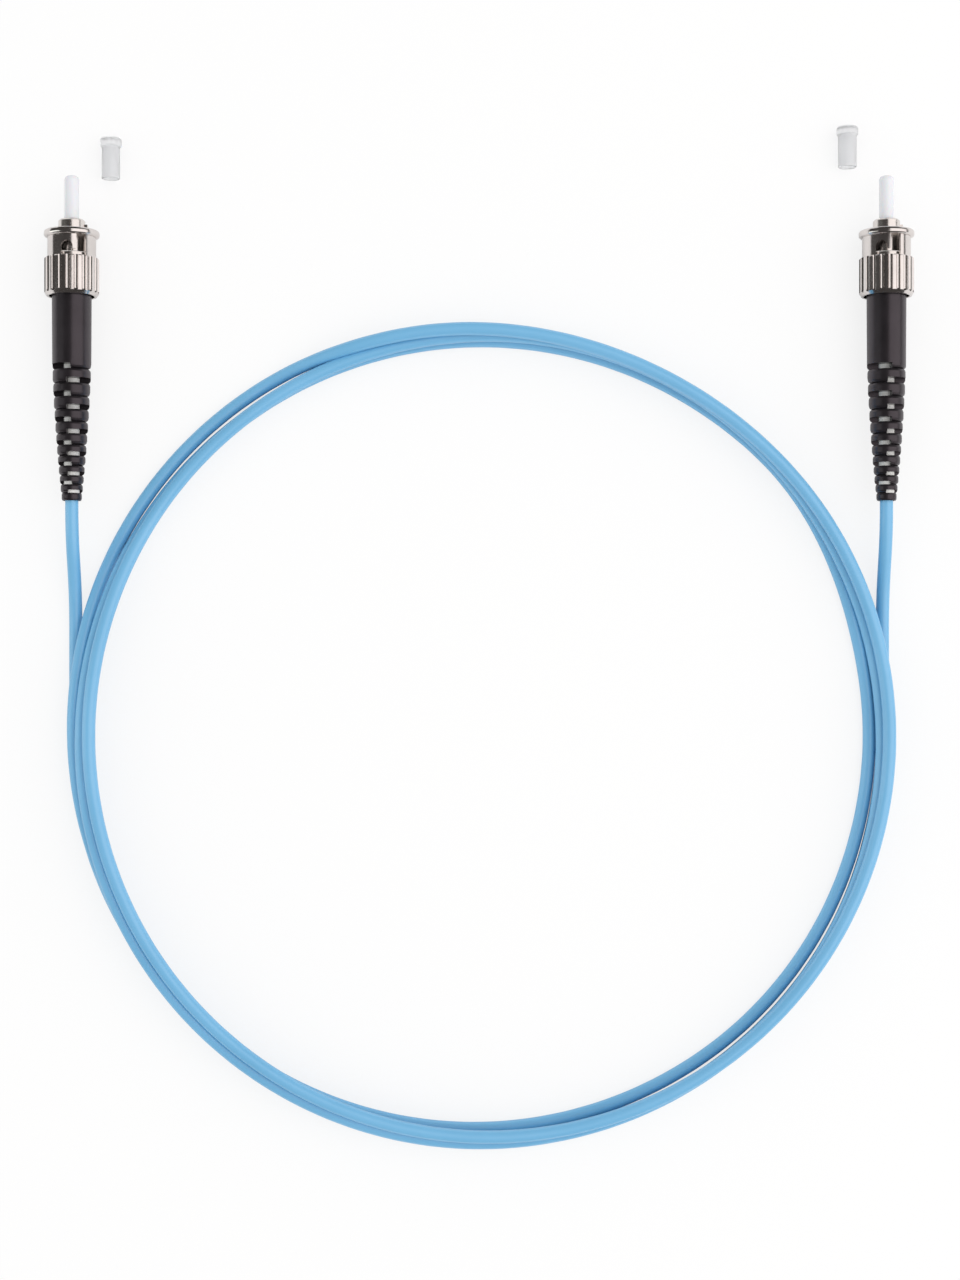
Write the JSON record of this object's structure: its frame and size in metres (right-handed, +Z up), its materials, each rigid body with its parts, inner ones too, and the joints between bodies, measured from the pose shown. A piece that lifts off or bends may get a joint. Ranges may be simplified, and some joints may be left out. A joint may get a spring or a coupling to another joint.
{
  "type": "fibre patch cord with bayonet connectors",
  "caption": "Thin aqua fibre cord in a round coil, with a fluted metal bayonet connector and slotted black boot at each end and the ferrule caps laid beside them.",
  "frame": {"origin": "middle of the base of the box round both connectors and their caps, on the surface that the part lies on", "axes": "+Z up; both connectors point along +Y; +X runs from the left connector to the right one"},
  "size_m": [0.1504, 0.1794, 0.0095],
  "materials": {
    "zirconia": "polished white ceramic",
    "glass_fibre": "clear glass in a tight buffer",
    "nickel": "bright nickel plate",
    "spring_steel": "drawn spring wire",
    "brass": "turned brass",
    "aramid": "yellow yarn",
    "shrink_tube": "white shrink tube",
    "boot_rubber": "satin black moulded elastomer",
    "cap_plastic": "soft translucent plastic",
    "aqua_jacket": "satin aqua jacket"
  },
  "bodies": {
    "cord_assembly": {"left_ferrule": "zirconia", "left_fibre": "glass_fibre", "left_keyed_holder": "nickel", "left_spring": "spring_steel", "left_retaining_clip": "spring_steel", "left_crimp_post": "brass", "left_aramid_yarn": "aramid", "left_crimp_sleeve": "nickel", "left_shrink_sleeve": "shrink_tube", "left_boot": "boot_rubber", "left_dust_cap": "cap_plastic", "right_ferrule": "zirconia", "right_fibre": "glass_fibre", "right_keyed_holder": "nickel", "right_spring": "spring_steel", "right_retaining_clip": "spring_steel", "right_crimp_post": "brass", "right_aramid_yarn": "aramid", "right_crimp_sleeve": "nickel", "right_shrink_sleeve": "shrink_tube", "right_boot": "boot_rubber", "right_dust_cap": "cap_plastic", "left_lead": "aqua_jacket", "right_lead": "aqua_jacket", "cord_coil": "aqua_jacket"},
    "left_slider": {"left_thrust_washer": "spring_steel"},
    "left_nut": {"left_coupling_nut": "nickel"},
    "right_slider": {"right_thrust_washer": "spring_steel"},
    "right_nut": {"right_coupling_nut": "nickel"}
  },
  "joints": [
    {"name": "left_nut_slide", "type": "slide", "parent": "cord_assembly", "child": "left_slider", "axis": [0, 1, 0], "range_m": [0, 0.0015], "stiffness_N_per_m": 3000, "springref_m": -0.0015, "deforming": ["left_spring"]},
    {"name": "left_nut_turn", "type": "hinge", "parent": "left_slider", "child": "left_nut", "pos_m": [-0.0705, 0.00263, 0.00475], "axis": [0, 1, 0], "continuous": true},
    {"name": "right_nut_slide", "type": "slide", "parent": "cord_assembly", "child": "right_slider", "axis": [0, 1, 0], "range_m": [0, 0.0015], "stiffness_N_per_m": 3000, "springref_m": -0.0015, "deforming": ["right_spring"]},
    {"name": "right_nut_turn", "type": "hinge", "parent": "right_slider", "child": "right_nut", "pos_m": [0.0705, 0.00263, 0.00475], "axis": [0, 1, 0], "continuous": true}
  ]
}
